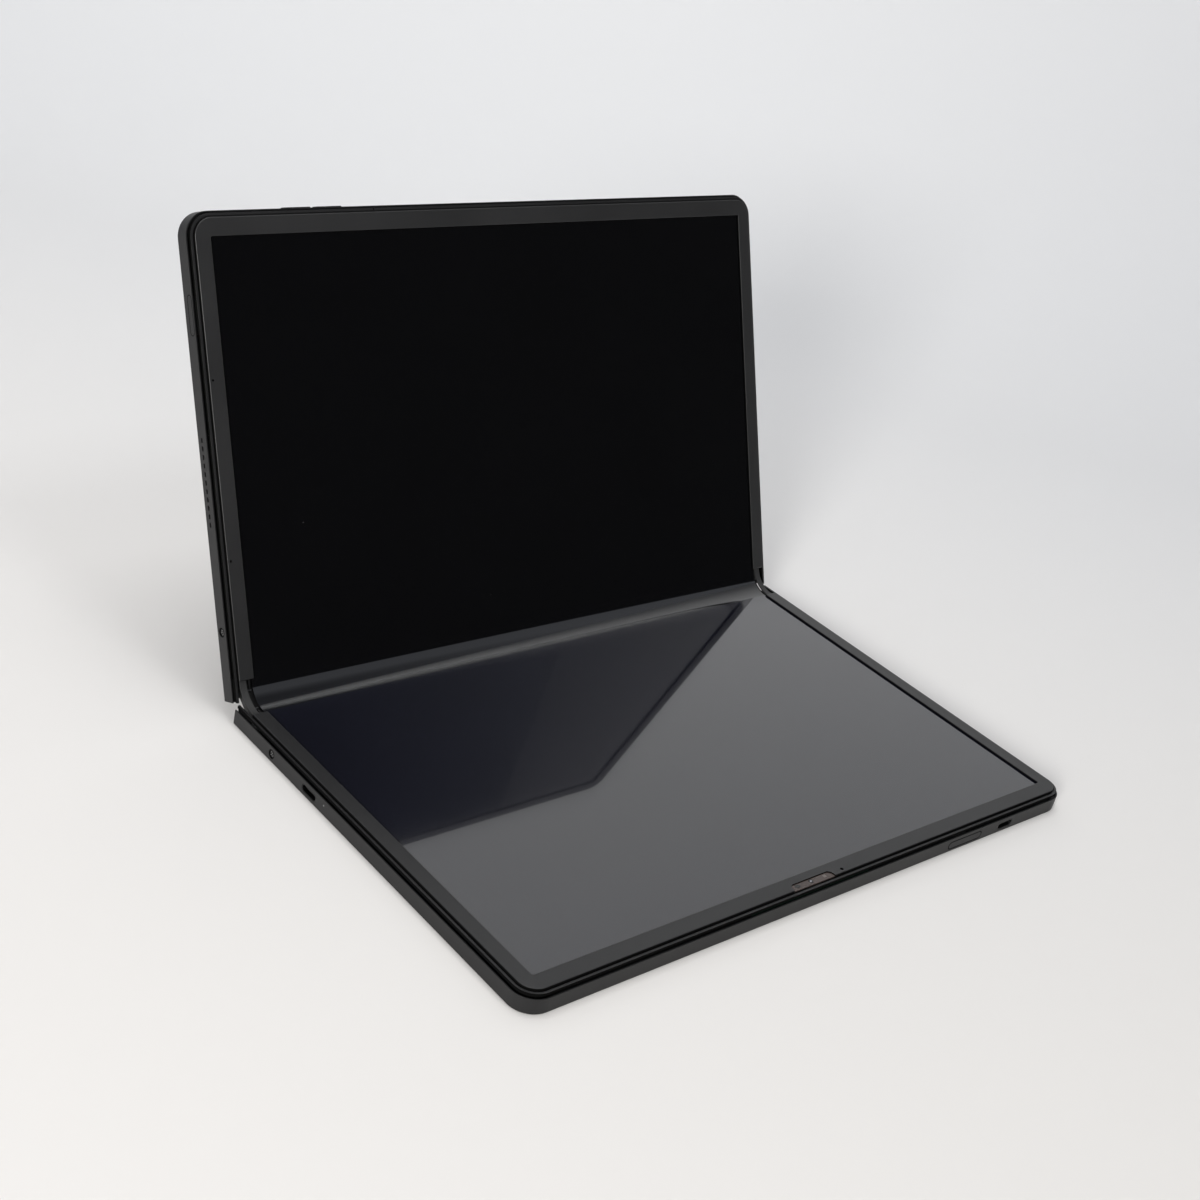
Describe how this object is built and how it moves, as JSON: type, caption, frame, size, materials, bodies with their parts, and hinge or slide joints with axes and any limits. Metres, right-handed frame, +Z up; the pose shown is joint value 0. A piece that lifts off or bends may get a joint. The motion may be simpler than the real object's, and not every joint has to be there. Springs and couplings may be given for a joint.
{
  "type": "foldable laptop",
  "caption": "Dark foldable laptop: two rounded rectangular halves share one flexible screen that bends over a hidden hinge spine, shown open on a table.",
  "frame": {"origin": "centre of the base half's flat underside, on the surface that the laptop stands on", "axes": "+X to the right along the fold as its user sees it, +Y away from the user towards the fold, +Z up"},
  "size_m": [0.2762, 0.2488, 0.166],
  "materials": {
    "frame_metal": "matt dark grey anodised",
    "cover_leather": "fine-grained black imitation leather",
    "plate_metal": "matt dark grey",
    "bezel_plastic": "matt dark grey",
    "screen_film": "glossy black",
    "strip_rubber": "matt black",
    "hinge_steel": "blackened, brushed",
    "spine_metal": "matt dark grey",
    "screw_steel": "dark",
    "socket_steel": "blackened",
    "board": "solder mask",
    "black_plastic": "matt black",
    "reader_steel": "satin",
    "spreader_copper": "satin copper",
    "battery_pouch": "matt pouch foil",
    "magnet": "nickel plated",
    "window_glass": "tinted clear",
    "light_guide": "frosted"
  },
  "bodies": {
    "base": {"base_frame": "frame_metal", "base_back_cover": "cover_leather", "base_middle_plate": "plate_metal", "base_bezel": "bezel_plastic", "base_screen": "screen_film", "base_hinge_arm_left": "hinge_steel", "base_hinge_arm_right": "hinge_steel", "base_hinge_screws": "screw_steel", "base_side_screws": "screw_steel", "usb_socket_side": "socket_steel", "usb_socket_front": "socket_steel", "usb_board_side": "board", "usb_board_front": "board", "power_switch": "black_plastic", "charge_light": "light_guide", "camera_window": "window_glass", "camera_module": "black_plastic", "camera_board": "board", "mainboard": "board", "heat_spreader": "spreader_copper", "storage_card": "board", "base_battery": "battery_pouch", "base_magnets": "magnet"},
    "spine": {"spine_cover": "spine_metal", "spine_cap_left": "spine_metal", "spine_cap_right": "spine_metal", "spine_stiffener": "hinge_steel", "hinge_block_left": "hinge_steel", "hinge_block_right": "hinge_steel", "screen_bend": "screen_film", "end_strip_left": "strip_rubber", "end_strip_right": "strip_rubber"},
    "lid": {"lid_frame": "frame_metal", "lid_back_cover": "cover_leather", "lid_middle_plate": "plate_metal", "lid_bezel": "bezel_plastic", "lid_screen": "screen_film", "lid_hinge_arm_left": "hinge_steel", "lid_hinge_arm_right": "hinge_steel", "lid_hinge_screws": "screw_steel", "lid_side_screws": "screw_steel", "lid_battery": "battery_pouch", "lid_magnets": "magnet", "speaker_left": "black_plastic", "speaker_right": "black_plastic", "sim_reader": "reader_steel", "volume_switches": "board", "radio_card": "board", "antennas": "black_plastic"},
    "base_guide": {"base_bend_guide": "hinge_steel"},
    "lid_guide": {"lid_bend_guide": "hinge_steel"},
    "power": {"power_button": "frame_metal"},
    "volume_up": {"volume_up_button": "frame_metal"},
    "volume_down": {"volume_down_button": "frame_metal"},
    "tray": {"sim_tray": "frame_metal"}
  },
  "joints": [
    {"name": "fold_base", "type": "hinge", "parent": "base", "child": "spine", "pos_m": [0, 0.08572, 0.008], "axis": [1, 0, 0], "range_deg": [-33.3, 56.7], "deforming": ["screen_bend", "end_strip_left", "end_strip_right"]},
    {"name": "fold_lid", "type": "hinge", "parent": "spine", "child": "lid", "pos_m": [0, 0.0869, 0.00877], "axis": [1, 0, 0], "range_deg": [-33.3, 56.7], "deforming": ["screen_bend", "end_strip_left", "end_strip_right"]},
    {"name": "base_guide_turn", "type": "hinge", "parent": "base", "child": "base_guide", "pos_m": [0, 0.08278, 0.00712], "axis": [1, 0, 0], "range_deg": [-33.3, 56.7]},
    {"name": "lid_guide_turn", "type": "hinge", "parent": "lid", "child": "lid_guide", "pos_m": [0, 0.08887, 0.01112], "axis": [-1, 0, 0], "range_deg": [-33.3, 56.7]},
    {"name": "power_press", "type": "slide", "parent": "base", "child": "power", "axis": [0, 1, 0], "range_m": [0, 0.0003], "stiffness_N_per_m": 3000},
    {"name": "volume_up_press", "type": "slide", "parent": "lid", "child": "volume_up", "axis": [0, -0.3971, -0.9178], "range_m": [0, 0.0003], "stiffness_N_per_m": 3000},
    {"name": "volume_down_press", "type": "slide", "parent": "lid", "child": "volume_down", "axis": [0, -0.3971, -0.9178], "range_m": [0, 0.0003], "stiffness_N_per_m": 3000},
    {"name": "tray_slide", "type": "slide", "parent": "lid", "child": "tray", "axis": [-1, 0, 0], "range_m": [0, 0.016]}
  ],
  "couplings": [
    {"joint": "fold_lid", "follows": "fold_base", "ratio": 1},
    {"joint": "base_guide_turn", "follows": "fold_base", "ratio": 1},
    {"joint": "lid_guide_turn", "follows": "fold_base", "ratio": 1}
  ]
}
